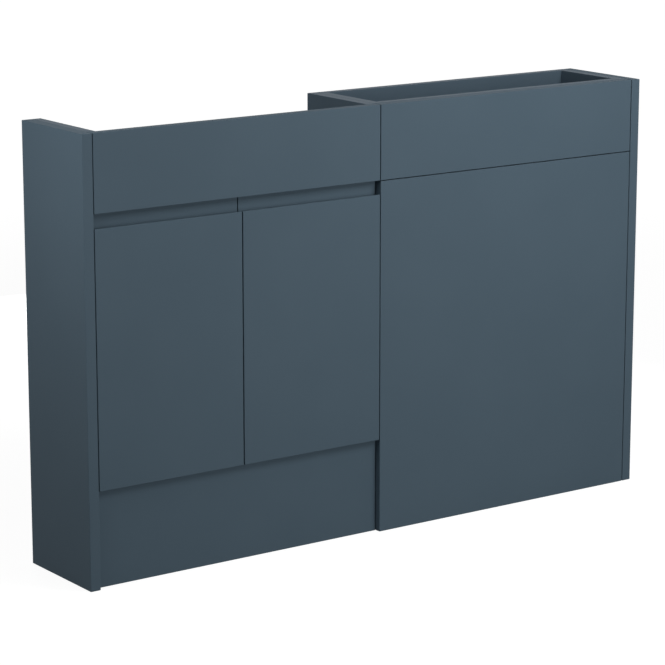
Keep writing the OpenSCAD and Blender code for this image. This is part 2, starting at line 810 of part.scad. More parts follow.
// ---- the toilet unit's removable fascia, its studs and their sockets
stud_zs = [run_h - wc_front_rail_h / 2, fascia_z + wc_mid_rail_lap / 2];
stud_spots = [for (x = [joint_x + stud_in, right_x - stud_in], z = stud_zs) [x, z]];
stud_neck_r = 2.2;
stud_in_board = 10;
stud_shoulder = 4;      // full thickness of a stud behind the fascia, before its neck
socket_wall = 1.6;
socket_flange_r = 7;
socket_flange_t = 0.8;
socket_len = 15;
module wc_fascia() {
    color(front_color) difference() {
        board([joint_x + reveal / 2, front_y, fascia_z], [right_x - reveal, door_back_y, run_h]);
        for (spot = stud_spots)
            rod_y([spot[0], door_back_y - stud_in_board, spot[1]], stud_r + snug,
                stud_in_board + 1);
    }
}
module fascia_clips() {
    color(pale) for (spot = stud_spots) {
        rod_y([spot[0], door_back_y - stud_in_board, spot[1]], stud_r,
            stud_in_board + stud_shoulder);
        rod_y([spot[0], door_back_y, spot[1]], stud_neck_r, stud_len - stud_r);
        translate([spot[0], door_back_y + stud_len - stud_r, spot[1]]) sphere(r = stud_r);
    }
}
module socket_holes() {
    for (spot = stud_spots)
        rod_y([spot[0], carcass_y - 1, spot[1]], stud_r + play + socket_wall + snug,
            socket_len + 1);
}
module clip_sockets() {
    outer = stud_r + play + socket_wall;
    color(plastic) for (spot = stud_spots) difference() {
        union() {
            rod_y([spot[0], carcass_y - socket_flange_t, spot[1]], socket_flange_r,
                socket_flange_t);
            rod_y([spot[0], carcass_y - socket_flange_t, spot[1]], outer,
                socket_flange_t + socket_len);
        }
        rod_y([spot[0], carcass_y - socket_flange_t - 1, spot[1]], stud_r + play,
            socket_flange_t + socket_len);
    }
}

// ---- carcass screws
module basin_carcass_screws() {
    color(steel) carcass_screw_set(basin_x, basin_w, basin_screw_spots);
}
module wc_carcass_screws() {
    color(steel) carcass_screw_set(joint_x, wc_w, wc_screw_spots);
}

end_panel_left();
end_panel_right();
basin_side_left();
basin_side_right();
basin_base();
basin_front_rail();
basin_back_rail();
basin_lower_rail();
basin_fascia();
fascia_blocks();
fascia_block_screws();
door_left();
door_right();
door_buffers_left();
door_buffers_right();
hinge_cups_left();
hinge_cups_right();
hinge_cup_screws_left();
hinge_cup_screws_right();
hinge_arms_left();
hinge_arms_right();
hinge_plates_left();
hinge_plates_right();
hinge_plate_screws();
leg_sockets();
leg_screws();
foot_front_left();
foot_front_right();
foot_back_left();
foot_back_right();
plinth();
plinth_clips();
plinth_clip_screws();
wc_side_left();
wc_side_right();
wc_back_rail();
wc_front_rail();
wc_mid_rail();
wc_bottom_rail();
wc_lower_panel();
panel_blocks();
panel_block_screws();
wc_fascia();
fascia_clips();
clip_sockets();
basin_carcass_screws();
wc_carcass_screws();
connector_screws();
end_panel_screws();
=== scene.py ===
# %% [markdown]
# # A slim run of bathroom furniture in matt blue-grey
# The run is two carcasses side by side between two end panels. On the left is a basin unit with a
# fixed fascia, two doors without handles and a set-back plinth. On the right is a toilet unit with a
# loose top fascia and one tall panel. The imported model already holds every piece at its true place,
# so this script only gives those pieces their rounded edges, small fittings and finishes.

# %% Load the fixed frame
import json
import math

import bmesh
import bpy
from mathutils import Matrix, Vector

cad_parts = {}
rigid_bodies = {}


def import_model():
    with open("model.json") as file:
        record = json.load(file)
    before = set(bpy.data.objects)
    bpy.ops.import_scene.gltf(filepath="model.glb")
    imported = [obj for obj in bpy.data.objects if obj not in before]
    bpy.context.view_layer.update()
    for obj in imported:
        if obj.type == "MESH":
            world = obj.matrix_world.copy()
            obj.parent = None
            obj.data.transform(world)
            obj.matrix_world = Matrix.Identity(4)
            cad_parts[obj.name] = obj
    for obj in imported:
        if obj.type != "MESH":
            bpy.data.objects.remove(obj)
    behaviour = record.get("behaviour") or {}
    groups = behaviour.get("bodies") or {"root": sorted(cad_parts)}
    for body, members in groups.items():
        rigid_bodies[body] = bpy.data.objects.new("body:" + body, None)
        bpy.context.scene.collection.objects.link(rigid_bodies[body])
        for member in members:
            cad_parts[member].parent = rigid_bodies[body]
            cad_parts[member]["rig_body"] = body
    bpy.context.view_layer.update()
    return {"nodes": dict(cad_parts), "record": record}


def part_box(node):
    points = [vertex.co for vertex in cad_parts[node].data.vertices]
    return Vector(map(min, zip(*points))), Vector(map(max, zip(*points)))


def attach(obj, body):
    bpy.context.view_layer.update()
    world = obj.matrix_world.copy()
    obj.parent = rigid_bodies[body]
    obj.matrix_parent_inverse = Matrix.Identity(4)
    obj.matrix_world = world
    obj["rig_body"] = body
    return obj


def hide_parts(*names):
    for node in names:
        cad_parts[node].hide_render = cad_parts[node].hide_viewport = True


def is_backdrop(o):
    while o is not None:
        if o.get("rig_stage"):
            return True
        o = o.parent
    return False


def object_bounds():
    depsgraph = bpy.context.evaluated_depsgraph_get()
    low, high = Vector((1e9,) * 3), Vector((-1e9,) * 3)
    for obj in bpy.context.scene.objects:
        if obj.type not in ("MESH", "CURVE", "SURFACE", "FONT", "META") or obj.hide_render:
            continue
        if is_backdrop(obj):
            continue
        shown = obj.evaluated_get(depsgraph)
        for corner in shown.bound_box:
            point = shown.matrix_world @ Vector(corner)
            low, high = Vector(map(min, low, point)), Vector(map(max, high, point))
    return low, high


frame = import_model()
for startup_object in ("Cube", "Light", "Camera"):
    if startup_object in bpy.data.objects:
        bpy.data.objects.remove(bpy.data.objects[startup_object])
MM = 0.001
slot_of = {row["node"]: row["material_slot"] for row in frame["record"]["subparts"]}
body_of = {node: cad["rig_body"] for node, cad in frame["nodes"].items()}

# %% [markdown]
# ## Camera
# The photograph looks at the run from its left front corner, from a little above, through a long
# lens. Its uprights stay parallel, which needs a large lens shift. A shift is kept in every other
# view too, so here the camera is tipped down instead, and its place, turn and lens are chosen so
# that the corners of the run come nearest to where the photograph has them.

# %% Camera
camera_place = Vector((-2.862, -3.974, 1.466))
camera_turn = math.radians(35.44)
camera_tip = math.radians(12.71)
camera_lens = 145.9
camera_sensor = 36
camera = bpy.data.objects.new("camera", bpy.data.cameras.new("camera"))
bpy.context.scene.collection.objects.link(camera)
camera.location = camera_place
camera.rotation_euler = (math.pi / 2 - camera_tip, 0, -camera_turn)
camera.data.lens = camera_lens
camera.data.sensor_width = camera_sensor
bpy.context.scene.camera = camera
bpy.context.scene.view_settings.view_transform = "Standard"
print("camera stands", round(camera_place.length, 2), "m from the run")

# %% [markdown]
# ## Two small helpers for every material and node tree
# Colours are written the way a paint chart gives them, as sRGB hex values, and turned to linear
# light in one place. `add` makes one node, sets its properties and connects or fills its sockets,
# so that each material below reads as a short list of what the surface does.

# %% Helpers for nodes
def linear(chart_colour):
    """An sRGB hex colour as the linear RGBA that a shader works in."""
    parts = [int(chart_colour[i:i + 2], 16) / 255 for i in (1, 3, 5)]
    return [c / 12.92 if c <= 0.04045 else ((c + 0.055) / 1.055) ** 2.4 for c in parts] + [1.0]


def add(tree, kind, inputs=None, **settings):
    """Adds a node. An input is a number, a socket, a node (its first output) or a list of those."""
    node = tree.nodes.new(kind)
    for key, value in settings.items():
        setattr(node, key, value)
    for key, value in (inputs or {}).items():
        named = [s for s in node.inputs if s.enabled and s.name == key]
        socket = named[0] if named else node.inputs[key]
        linked = (bpy.types.Node, bpy.types.NodeSocket)
        several = value if isinstance(value, list) and isinstance(value[0], linked) else [value]
        for one in several:
            if isinstance(one, bpy.types.Node):
                one = next(s for s in one.outputs if s.enabled)
            if isinstance(one, bpy.types.NodeSocket):
                tree.links.new(one, socket)
            else:
                socket.default_value = one
    return node


def new_material(name):
    material = bpy.data.materials.new(name)
    material.use_nodes = True
    material.node_tree.nodes.clear()
    return material, material.node_tree


def finish_material(material, tree, shader):
    add(tree, "ShaderNodeOutputMaterial", {"Surface": shader})
    print("material:", material.name, "with", len(tree.nodes), "nodes")
    return material


# %% [markdown]
# ## White dome
# Around the scene is a white dome, like a photographer's light tent. It fills every side with a
# little light, and the camera and gloss see it plain white. One picture of a studio could light
# the whole scene and would be shorter, but its lamps are endlessly far away, and here the light
# has to fall off along the run.

# %% White dome
def seen_directly(tree):
    """1 for rays from the camera, gloss or glass, 0 for rays that gather light on matt faces."""
    path = add(tree, "ShaderNodeLightPath")
    first = add(tree, "ShaderNodeMath", {0: path.outputs["Is Camera Ray"],
                                         1: path.outputs["Is Glossy Ray"]}, operation="MAXIMUM")
    return add(tree, "ShaderNodeMath", {0: first, 1: path.outputs["Is Transmission Ray"]},
               operation="MAXIMUM")


def white_dome(dome_light):
    world = bpy.data.worlds.new("studio_dome")
    bpy.context.scene.world = world
    world.use_nodes = True
    tree = world.node_tree
    tree.nodes.clear()
    strength = add(tree, "ShaderNodeMapRange", {"Value": seen_directly(tree), "To Min": dome_light,
                                                "To Max": 1.0})
    dome = add(tree, "ShaderNodeBackground", {"Color": linear("#ffffff"), "Strength": strength})
    add(tree, "ShaderNodeOutputWorld", {"Surface": dome})
    print("dome light:", dome_light)


white_dome(dome_light=0.06)

# %% [markdown]
# ## Pale floor
# The run stands on a plain pale floor, which shows white but still takes the shadow that shows
# where the run stands. White paint under strong lamps would do the same, but it would throw too
# much light back up. So the paint is grey, and a glow that only the camera, gloss and glass see
# makes up the rest.

# %% Pale floor
floor_drop = 0.2 * MM
# How far from the middle the floor's glow starts to rise, and where it is full white
glow_rises, glow_full = 1.0, 4.0


def pale_floor(floor_glow, half_width):
    """The glow rises to full white further out, where the lamps don't reach."""
    material, tree = new_material("pale_studio_floor")
    paint = add(tree, "ShaderNodeBsdfDiffuse", {"Color": linear("#808080")})
    place = add(tree, "ShaderNodeTexCoord").outputs["Object"]
    away = add(tree, "ShaderNodeVectorMath", {0: place}, operation="LENGTH").outputs["Value"]
    rise = add(tree, "ShaderNodeMapRange", {
        "Value": away, "From Min": glow_rises, "From Max": glow_full, "To Min": floor_glow,
        "To Max": 1.0})
    level = add(tree, "ShaderNodeMath", {0: seen_directly(tree), 1: rise}, operation="MULTIPLY")
    glow = add(tree, "ShaderNodeEmission", {"Strength": level})
    finish_material(material, tree, add(tree, "ShaderNodeAddShader", {0: paint, 1: glow}))
    bm = bmesh.new()
    bmesh.ops.create_grid(bm, x_segments=8, y_segments=8, size=half_width)
    mesh = bpy.data.meshes.new("studio_floor")
    bm.to_mesh(mesh)
    bm.free()
    mesh.materials.append(material)
    floor = bpy.data.objects.new("studio_floor", mesh)
    bpy.context.scene.collection.objects.link(floor)
    floor.location.z = -floor_drop
    floor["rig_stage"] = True


pale_floor(floor_glow=0.9, half_width=60)

# %% [markdown]
# ## Soft lamps
# A low lamp in front lights the fronts and reaches into the finger groove. A high one, towards the
# right, and a small one near the left end are so close that their light falls off along the run
# and down it, as in the photograph. Two more light the right end and the open back; they stay
# below the top, where their light would glance off the edges towards the camera. All are squares
# of light, because a point or a sun would cut the shadows hard.

# %% Lamps
def soft_lamp(name, place, target, width, watts):
    """A square lamp at a place, turned to a target, both in metres."""
    lamp = bpy.data.objects.new(name, bpy.data.lights.new(name, "AREA"))
    bpy.context.scene.collection.objects.link(lamp)
    lamp.data.shape = "SQUARE"
    lamp.data.size = width
    lamp.data.energy = watts
    lamp.location = place
    lamp.rotation_euler = (Vector(target) - Vector(place)).to_track_quat("-Z", "Y").to_euler()
    lamp.visible_camera = False


soft_lamp("low_front_lamp", (0.2, -2.2, 0.7), (0.2, 0, 0.6), width=1.0, watts=15)
soft_lamp("high_front_lamp", (0.6, -1.3, 1.7), (0.3, 0, 0.7), width=0.8, watts=18)
soft_lamp("left_lamp", (-1.3, -0.2, 1.05), (-0.62, 0, 0.7), width=0.5, watts=5.2)
soft_lamp("right_lamp", (1.4, 0.2, 0.6), (0.62, 0, 0.5), width=0.4, watts=4.5)
soft_lamp("back_lamp", (0.3, 2.2, 0.4), (0, 0, 0.4), width=0.7, watts=22)
print("lamps:", len(bpy.data.lights))

# %% [markdown]
# ## Foil on the fronts
# The doors, fascias, end panels, lower panel and plinth are fibreboard wrapped in a matt foil. The
# foil is smooth, so the eye gets its matt blue-grey colour, a broad soft sheen and, close to, the
# very slight waviness that the press leaves. A scanned picture of the foil would need unwrapped
# faces and would repeat. Noise on Object coordinates does neither and makes spots of a real size,
# which serve as colour drift, as roughness or as height.

# %% Foil
def spots(tree, across, low=0.0, high=1.0):
    """Soft spots of a real size, fixed to the piece, as a value between low and high."""
    place = add(tree, "ShaderNodeTexCoord").outputs["Object"]
    noise = add(tree, "ShaderNodeTexNoise", {"Vector": place, "Scale": 1 / across})
    return add(tree, "ShaderNodeMapRange", {"Value": noise, "From Min": 0.3, "From Max": 0.7,
                                            "To Min": low, "To Max": high})


def matt_foil(darker, lighter):
    """Colour drifts over a hand's width; the press leaves waves of 6 mm and a fine grain."""
    material, tree = new_material("matt_foil_on_fibreboard")
    colour = add(tree, "ShaderNodeMix", {"Factor": spots(tree, 140 * MM), "A": linear(darker),
                                         "B": linear(lighter)}, data_type="RGBA")
    waves = add(tree, "ShaderNodeBump", {"Height": spots(tree, 6 * MM), "Distance": 0.03 * MM})
    # The real grain is a few tenths of a millimetre. It is drawn coarser, so that it shows
    grain = add(tree, "ShaderNodeBump", {"Height": spots(tree, 1.1 * MM),
                                         "Distance": 0.012 * MM, "Normal": waves})
    shader = add(tree, "ShaderNodeBsdfPrincipled", {
        "Base Color": colour, "Roughness": spots(tree, 1.1 * MM, 0.66, 0.74), "IOR": 1.46,
        "Specular IOR Level": 0.2, "Normal": grain})
    return finish_material(material, tree, shader)


foil = matt_foil("#4a5b67", "#4c5d69")

# %% [markdown]
# ## Melamine on the carcass boards
# The gables, rails and base are chipboard faced with melamine paper in the same colour. Melamine has
# a pressed pearl texture, deeper than the foil's grain. The cut edges carry a glued plastic band, a
# shade lighter and a little glossier. Inside the wall fixing holes the raw chips show. A band could
# be a strip of its own, but half a millimetre of plastic shows only by its shade. So each board tells
# one material where its bands and its raw bores are, with the attributes `band` and `raw`.

# %% Melamine
def faced_board(darker, lighter, band_colour, chip_dark, chip_light):
    material, tree = new_material("melamine_faced_chipboard")
    band = add(tree, "ShaderNodeAttribute", attribute_name="band").outputs["Fac"]
    raw = add(tree, "ShaderNodeAttribute", attribute_name="raw").outputs["Fac"]
    face = add(tree, "ShaderNodeMix", {"Factor": spots(tree, 160 * MM), "A": linear(darker),
                                       "B": linear(lighter)}, data_type="RGBA")
    coated = add(tree, "ShaderNodeMix", {"Factor": band, "A": face, "B": linear(band_colour)},
                 data_type="RGBA")
    chips = add(tree, "ShaderNodeMix", {"Factor": spots(tree, 1.4 * MM), "A": linear(chip_dark),
                                        "B": linear(chip_light)}, data_type="RGBA")
    colour = add(tree, "ShaderNodeMix", {"Factor": raw, "A": coated, "B": chips},
                 data_type="RGBA")
    roughness = add(tree, "ShaderNodeMix", {"Factor": band, "A": spots(tree, 1.6 * MM, 0.64, 0.74),
                                            "B": 0.62})
    # The real pearls are well under a millimetre. They are drawn coarser, so that they show
    pearl = add(tree, "ShaderNodeBump", {"Height": spots(tree, 1.6 * MM), "Distance": 0.04 * MM})
    shader = add(tree, "ShaderNodeBsdfPrincipled", {
        "Base Color": colour, "Roughness": roughness, "IOR": 1.5, "Specular IOR Level": 0.2,
        "Normal": pearl})
    return finish_material(material, tree, shader)


melamine = faced_board("#495965", "#4c5c68", "#505f6b", "#8d7553", "#c2ab86")

# %% [markdown]
# ## Metals and plastics of the fittings
# Hinges are pressed from steel strip and nickel plated: bright, warm-grey and nearly smooth. Screws
# are zinc plated, which is bluer and cloudier. The legs, blocks and clips are moulded in black
# polypropylene, whose mould was spark-eroded to a fine matt grain. The fascia's studs are natural
# nylon, and the door pads are clear soft plastic. Metals differ from each other only in colour and
# polish, and mouldings in colour and grain, so two functions make all five.

# %% Fittings
def plated_steel(name, darker, lighter, cloud, polish):
    """Plating has soft clouds of polish and colour, and the strip's fine rolled unevenness."""
    material, tree = new_material(name)
    colour = add(tree, "ShaderNodeMix", {"Factor": spots(tree, cloud), "A": linear(darker),
                                         "B": linear(lighter)}, data_type="RGBA")
    rolled = add(tree, "ShaderNodeBump", {"Height": spots(tree, 0.8 * MM), "Distance": 0.003 * MM})
    shader = add(tree, "ShaderNodeBsdfPrincipled", {
        "Base Color": colour, "Metallic": 1.0, "Normal": rolled,
        "Roughness": spots(tree, cloud, polish, polish + 0.05)})
    return finish_material(material, tree, shader)


def moulded(name, darker, lighter, grain, roughness, **values):
    """A moulding shows the grain of its mould as spots of gloss and height.

    The real grain is about a tenth of a millimetre. It is drawn coarser, so that it shows.
    """
    material, tree = new_material(name)
    colour = add(tree, "ShaderNodeMix", {"Factor": spots(tree, grain), "A": linear(darker),
                                         "B": linear(lighter)}, data_type="RGBA")
    eroded = add(tree, "ShaderNodeBump", {"Height": spots(tree, grain), "Distance": 0.03 * MM})
    inputs = {key.replace("_", " "): value for key, value in values.items()}
    shader = add(tree, "ShaderNodeBsdfPrincipled", {
        "Base Color": colour, "Roughness": spots(tree, grain, roughness, roughness + 0.1),
        "Normal": eroded, **inputs})
    return finish_material(material, tree, shader)


nickel = plated_steel("nickel_plated_strip", "#bdbbb5", "#c9c7c2", 12 * MM, 0.24)
zinc = plated_steel("zinc_plated_screws", "#a3a8ad", "#bfc4c9", 2 * MM, 0.3)
black_plastic = moulded("moulded_polypropylene", "#141516", "#1a1c1d", 0.9 * MM, 0.42, IOR=1.49)
nylon = moulded("natural_nylon", "#d9d6cb", "#e6e3d8", 1.5 * MM, 0.36, IOR=1.53)
clear_pad = moulded("clear_soft_pad", "#e6ecee", "#f4f8f9", 1.2 * MM, 0.15, IOR=1.5,
                    Transmission_Weight=0.7)
finishes = {"fronts": foil, "carcass": melamine, "hinge_steel": nickel, "screw_steel": zinc,
            "leg_plastic": black_plastic, "clip_nylon": nylon, "buffer": clear_pad}
for node, cad_object in frame["nodes"].items():
    cad_object.material_slots[0].material = finishes[slot_of[node]]
print("finishes:", sorted(finishes))

# %% [markdown]
# ## From a CAD solid to a finished piece
# Most pieces keep the shape of their CAD solid exactly, with its bores and grooves. They could be
# drawn again from their sizes, but a hole could then miss its screw. The solid arrives as loose
# triangles, so a copy of it is merged and its flat triangles are joined again. Then its edges are
# rounded, and the finished piece stands for the CAD node.

# %% Helpers for pieces
FLAT = math.radians(0.12)
CREASE = math.radians(50)


def merged_copy(node):
    """The CAD solid with its corners joined and its flat faces whole again."""
    bm = bmesh.new()
    bm.from_mesh(frame["nodes"][node].data)
    bmesh.ops.remove_doubles(bm, verts=bm.verts, dist=0.001 * MM)
    bmesh.ops.dissolve_limit(bm, angle_limit=FLAT, verts=bm.verts, edges=bm.edges)
    return bm


def is_curved(face):
    """True on the wall of a bore or a rounding, which meets its neighbours at a small angle."""
    return any(FLAT < edge.calc_face_angle(0) < CREASE for edge in face.edges)


def round_edges(bm, edges, radius, steps):
    bmesh.ops.bevel(bm, geom=edges, offset=radius, segments=steps, profile=0.5, affect="EDGES",
                    clamp_overlap=False)


print("flat within", round(math.degrees(FLAT), 2), "and creased from", round(math.degrees(CREASE)))

# %% [markdown]
# ## A piece that stands for its CAD node
# On a real board the light changes only where a rounding turns the surface. Smooth shading alone
# would bend it across the flat faces too, and flat shading would show every facet of a rounding.
# So all faces are smooth, creases are marked sharp, and a Weighted Normal modifier lets the large
# flat faces win. The piece then takes over what its node had.

# %% Helpers for finished pieces
def make_object(name, bm):
    """A piece whose flat faces shade flat and whose roundings shade round."""
    for face in bm.faces:
        face.smooth = True
    for edge in bm.edges:
        edge.smooth = edge.calc_face_angle(0) < CREASE
    mesh = bpy.data.meshes.new(name)
    bm.to_mesh(mesh)
    bm.free()
    piece = bpy.data.objects.new(name, mesh)
    bpy.context.scene.collection.objects.link(piece)
    weighted = piece.modifiers.new("flat_faces_first", "WEIGHTED_NORMAL")
    weighted.keep_sharp = True
    return piece


def stand_for(piece, *nodes):
    """The piece takes the finish and the body of the nodes it replaces, and hides those nodes."""
    slot = slot_of[nodes[0]]
    piece.data.materials.clear()
    piece.data.materials.append(finishes[slot])
    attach(piece, body_of[nodes[0]])
    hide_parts(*nodes)


# %% [markdown]
# ## Boards
# A board's edges are never knife sharp: the foil is wrapped over a rounding of about a millimetre,
# and the plastic band is scraped to a little less. These roundings catch thin lines of light, and
# they are what makes the narrow gaps between the fronts read as gaps. The rims of drilled holes stay
# crisp, as a drill leaves them. A bevel modifier that goes by angle would round the rims too, so the
# edges are picked by their length and their faces first.

# %% Boards
edge_radius = {"fronts": 1.0 * MM, "carcass": 0.7 * MM}
long_edge = 15 * MM
# A face that leans less than this towards the board's thin direction lies on its edge
edge_lean = 0.7


def board_edges(bm, radius):
    """Long creases, and short ones between flat faces."""
    return [edge for edge in bm.edges if edge.calc_face_angle(0) > CREASE
            and (edge.calc_length() > long_edge
                 or edge.calc_length() > 2.5 * radius
                 and not any(is_curved(face) for face in edge.link_faces))]


def finish_board(node):
    """Marks bores and bands for the material and rounds the edges."""
    board = merged_copy(node)
    raw = board.faces.layers.float.new("raw")
    for face in board.faces:
        face[raw] = float(is_curved(face) and slot_of[node] == "carcass")
    radius = edge_radius[slot_of[node]]
    round_edges(board, board_edges(board, radius), radius, steps=3)
    low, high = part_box(node)
    thin = min(range(3), key=lambda axis: (high - low)[axis])
    band = board.faces.layers.float.new("band")
    for face in board.faces:
        face[band] = float(abs(face.normal[thin]) < edge_lean)
    stand_for(make_object("faced_" + node, board), node)


board_nodes = [node for node in frame["nodes"] if slot_of[node] in edge_radius]
for node in board_nodes:
    finish_board(node)
print("boards:", len(board_nodes))

# %% [markdown]
# ## Fittings that keep their CAD shape
# The hinge cups and plates, the corner blocks, the plinth clips and the fascia's studs and sockets
# have the right shape already. What they lack is that no pressed or moulded edge is sharp, so every
# edge, rims of holes included, gets a fine rounding: steel strip about a third of a millimetre, and
# moulded plastic a little more.

# %% Rounded cups, plates, blocks, clips and sockets
fitting_radius = {"hinge_cups": 0.3 * MM, "hinge_plates": 0.5 * MM, "fascia_blocks": 0.8 * MM,
                  "panel_blocks": 0.8 * MM, "plinth_clips": 0.6 * MM, "fascia_clips": 0.3 * MM,
                  "clip_sockets": 0.25 * MM}


def kind_of(node):
    return node.removesuffix("_left").removesuffix("_right")


for node in frame["nodes"]:
    if kind_of(node) in fitting_radius:
        fitting = merged_copy(node)
        radius = fitting_radius[kind_of(node)]
        creases = [edge for edge in fitting.edges if edge.calc_face_angle(0) > CREASE
                   and edge.calc_length() > 0.5 * radius]
        bmesh.ops.bevel(fitting, geom=creases, offset=radius, segments=2, profile=0.5,
                        affect="EDGES", clamp_overlap=True)
        stand_for(make_object("rounded_" + node, fitting), node)
        print(node, "rounded by", round(radius / MM, 2), "mm")

# %% [markdown]
# ## Turned shapes and results of modifiers
# Pads, pins and the plain part of a leg are round, so each is a profile turned about a line, as on
# a lathe. A Screw modifier would need a helper object for each; rings of points in a loop don't.
# Where a modifier does make the shape, its result is taken as plain mesh data, so that the finished
# piece carries no modifier that makes geometry.

# %% Helpers for turned and grown shapes
def turn(bm, profile, place, way=(0, 0, 1), steps=32):
    """Turns (radius, height) points about a line, as on a lathe, outer wall upwards."""
    seat = Matrix.Translation(place) @ Vector(way).to_track_quat("Z", "Y").to_matrix().to_4x4()
    rings = []
    for radius, height in profile:
        around = [math.tau * k / steps for k in range(steps)] if radius > 0 else [0.0]
        ring = [bm.verts.new(seat @ Vector((radius * math.cos(a), radius * math.sin(a), height)))
                for a in around]
        rings.append(ring if radius > 0 else ring * steps)
    for lower, upper in zip(rings, rings[1:]):
        for k in range(steps):
            corners = (lower[k - 1], lower[k], upper[k], upper[k - 1])
            bm.faces.new(list(dict.fromkeys(corners)))


def soften(profile, radius, steps=3):
    """Rounds each inner corner of a profile with a short curve."""
    points = [Vector(point) for point in profile]
    soft = [points[0]]
    for before, corner, after in zip(points, points[1:], points[2:]):
        back = min(radius, (before - corner).length / 2)
        on = min(radius, (after - corner).length / 2)
        start = corner + (before - corner).normalized() * back
        end = corner + (after - corner).normalized() * on
        for k in range(steps + 1):
            share = k / steps
            soft.append(start.lerp(corner, share).lerp(corner.lerp(end, share), share))
    return [tuple(point) for point in soft + [points[-1]]]


def plain_mesh(helper, bm=None):
    """Adds the result of an object's modifiers to plain mesh data. The helper object goes."""
    bpy.context.view_layer.update()
    evaluated = helper.evaluated_get(bpy.context.evaluated_depsgraph_get())
    mesh = bpy.data.meshes.new_from_object(evaluated)
    if bm is None:
        bm = bmesh.new()
    bm.from_mesh(mesh)
    bpy.data.meshes.remove(mesh)
    bpy.data.objects.remove(helper)
    return bm


print("helpers:", turn.__name__, soften.__name__, plain_mesh.__name__)

# %% [markdown]
# ## Pads on the doors
# Where a door closes against the rail it carries small clear pads, moulded as flat domes with a
# sticky back. In the CAD they are plain discs. Each disc gives its dome the place and the size, and
# the dome is a profile turned on a lathe.

# %% Door pads
def islands(node):
    """The separate solids of a node, each as a list of points."""
    bm = merged_copy(node)
    left = set(bm.verts)
    found = []
    while left:
        reached = [left.pop()]
        for vert in reached:
            near = {edge.other_vert(vert) for edge in vert.link_edges} & left
            left -= near
            reached.extend(near)
        found.append([vert.co.copy() for vert in reached])
    bm.free()
    return sorted(found, key=lambda points: tuple(round(c, 5) for c in min(points, key=tuple)))


def limits(points):
    return (Vector([min(p[axis] for p in points) for axis in range(3)]),
            Vector([max(p[axis] for p in points) for axis in range(3)]))


def door_pads(node):
    bm = bmesh.new()
    for points in islands(node):
        low, high = limits(points)
        radius, height = (high.x - low.x) / 2, high.y - low.y
        dome = [(0, 0), (radius, 0), (radius, 0.25 * height), (0.92 * radius, 0.6 * height),
                (0.7 * radius, 0.88 * height), (0.35 * radius, 0.98 * height), (0, height)]
        turn(bm, dome, ((low.x + high.x) / 2, low.y, (low.z + high.z) / 2), (0, 1, 0), steps=28)
    stand_for(make_object("domed_" + node, bm), node)


for node in ("door_buffers_left", "door_buffers_right"):
    door_pads(node)
    print(node, "has", len(islands(node)), "domes")

# %% [markdown]
# ## Steps that the grown shapes share
# Screws, ribs, webs and grips repeat a small shape many times, which is what Geometry Nodes are for.
# Their trees have a few steps in common: a tree with named sizes, a shape that is lifted, a shape
# that is drawn in towards its axis, and the finished shape set on points. They could be wired anew
# in each tree, but as functions they are written once and read as words.

# %% Steps of a tree
def new_tree(name, sizes, takes_points=True):
    """An empty tree with one named input for each size, and its group input's sockets."""
    tree = bpy.data.node_groups.new(name, "GeometryNodeTree")
    if takes_points:
        tree.interface.new_socket("Points", in_out="INPUT", socket_type="NodeSocketGeometry")
    for label, value in sizes.items():
        kind = {int: "NodeSocketInt", float: "NodeSocketFloat"}.get(type(value))
        socket = tree.interface.new_socket(label, in_out="INPUT",
                                           socket_type=kind or "NodeSocketMaterial")
        socket.default_value = value
    tree.interface.new_socket("Mesh", in_out="OUTPUT", socket_type="NodeSocketGeometry")
    return tree, tree.nodes.new("NodeGroupInput").outputs


def lift(tree, shape, height):
    """Moves a shape up, or down where the height is negative."""
    up = add(tree, "ShaderNodeCombineXYZ", {"Z": height})
    return add(tree, "GeometryNodeTransform", {"Geometry": shape, "Translation": up})


def stand_up(tree, shape, height):
    """A new cylinder is centred on the origin. This stands it on the origin."""
    half = add(tree, "ShaderNodeMath", {0: height, 1: 0.5}, operation="MULTIPLY")
    return lift(tree, shape, half)


def draw_in(tree, shape, share):
    """Draws each point in towards the upright axis, to a share of its distance."""
    flat = add(tree, "ShaderNodeCombineXYZ", {"X": share, "Y": share, "Z": 1.0})
    place = add(tree, "ShaderNodeVectorMath", {0: add(tree, "GeometryNodeInputPosition"),
                                               1: flat}, operation="MULTIPLY")
    return add(tree, "GeometryNodeSetPosition", {"Geometry": shape, "Position": place})


def set_on_points(tree, size, shape, **turning):
    """Ends a tree: the shape on each point, as real mesh in its finish."""
    placed = add(tree, "GeometryNodeInstanceOnPoints", {"Points": size["Points"],
                                                        "Instance": shape, **turning})
    real = add(tree, "GeometryNodeRealizeInstances", {"Geometry": placed})
    dressed = add(tree, "GeometryNodeSetMaterial", {"Geometry": real,
                                                    "Material": size["Finish"]})
    add(tree, "NodeGroupOutput", {"Mesh": dressed})
    return tree


print("steps:", lift.__name__, stand_up.__name__, draw_in.__name__, set_on_points.__name__)

# %% [markdown]
# ## Eased drum
# Heads, pads, collars and grips are all short drums whose ends are a little smaller than their
# middle. A bevel would round only the rim, so instead the rings of a cylinder are drawn in towards
# its ends. It is a group with named sizes, so a new head is a few numbers and not a new model.

